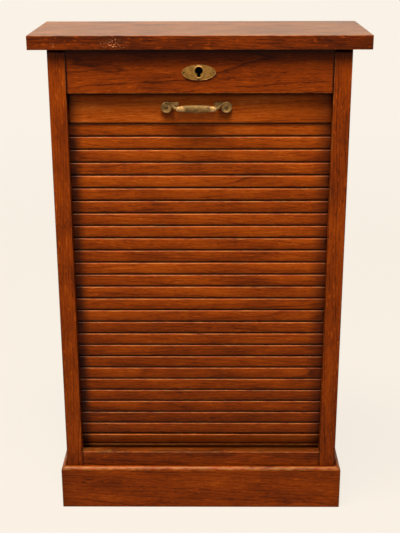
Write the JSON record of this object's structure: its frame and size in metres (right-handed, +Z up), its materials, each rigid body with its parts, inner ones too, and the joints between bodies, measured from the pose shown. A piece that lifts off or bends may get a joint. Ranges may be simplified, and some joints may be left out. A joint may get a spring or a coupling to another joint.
{
  "type": "tambour door cabinet",
  "caption": "Narrow oak cabinet with a slatted tambour curtain that pulls down its front, a cast brass pull, a lock in the rail above it and fixed shelves inside.",
  "frame": {"origin": "middle of the footprint, on the floor", "axes": "+Z up, +Y to the back, +X to the right seen from the front"},
  "size_m": [0.585, 0.238, 0.91],
  "materials": {
    "varnished_oak": "warm red-brown varnished oak, semi-gloss",
    "inner_oak": "plain oak, thinly sealed, matt",
    "aged_brass": "cast and pressed brass with brown-green patina",
    "dark_steel": "dull darkened steel",
    "canvas": "plain woven canvas, unbleached"
  },
  "bodies": {
    "root": {"top_board": "varnished_oak", "side_left": "varnished_oak", "side_right": "varnished_oak", "plinth_front": "varnished_oak", "plinth_left": "varnished_oak", "plinth_right": "varnished_oak", "frieze_rail": "varnished_oak", "bottom_rail": "varnished_oak", "back_panel": "varnished_oak", "slat_26": "varnished_oak", "slat_27": "varnished_oak", "slat_28": "varnished_oak", "slat_29": "varnished_oak", "slat_30": "varnished_oak", "cabinet_floor": "inner_oak", "shelf_1": "inner_oak", "shelf_2": "inner_oak", "shelf_3": "inner_oak", "false_back": "inner_oak", "escutcheon": "aged_brass", "lock_case": "dark_steel", "lock_plate": "dark_steel", "escutcheon_pin_left": "dark_steel", "escutcheon_pin_right": "dark_steel", "escutcheon_pin_bottom": "dark_steel", "bend_canvas": "canvas"},
    "tambour": {"lead_rail": "varnished_oak", "strike_plate": "aged_brass", "pull_handle": "aged_brass", "pull_screw_left": "aged_brass", "pull_screw_right": "aged_brass", "curtain_canvas": "canvas", "slat_01": "varnished_oak", "slat_02": "varnished_oak", "slat_03": "varnished_oak", "slat_04": "varnished_oak", "slat_05": "varnished_oak", "slat_06": "varnished_oak", "slat_07": "varnished_oak", "slat_08": "varnished_oak", "slat_09": "varnished_oak", "slat_10": "varnished_oak", "slat_11": "varnished_oak", "slat_12": "varnished_oak", "slat_13": "varnished_oak", "slat_14": "varnished_oak", "slat_15": "varnished_oak", "slat_16": "varnished_oak", "slat_17": "varnished_oak", "slat_18": "varnished_oak", "slat_19": "varnished_oak", "slat_20": "varnished_oak", "slat_21": "varnished_oak", "slat_22": "varnished_oak", "slat_23": "varnished_oak", "slat_24": "varnished_oak", "slat_25": "varnished_oak"},
    "lock_bolt": {"lock_bolt": "aged_brass"}
  },
  "joints": [
    {"name": "tambour_slide", "type": "slide", "parent": "root", "child": "tambour", "axis": [0, 0, -1], "range_m": [0, 0.585], "deforming": ["slat_01", "slat_02", "slat_03", "slat_04", "slat_05", "slat_06", "slat_07", "slat_08", "slat_09", "slat_10", "slat_11", "slat_12", "slat_13", "slat_14", "slat_15", "slat_16", "slat_17", "slat_18", "slat_19", "slat_20", "slat_21", "slat_22", "slat_23", "slat_24", "slat_25", "curtain_canvas"]},
    {"name": "lock_bolt_slide", "type": "slide", "parent": "root", "child": "lock_bolt", "axis": [0, 0, -1], "range_m": [0, 0.008]}
  ]
}
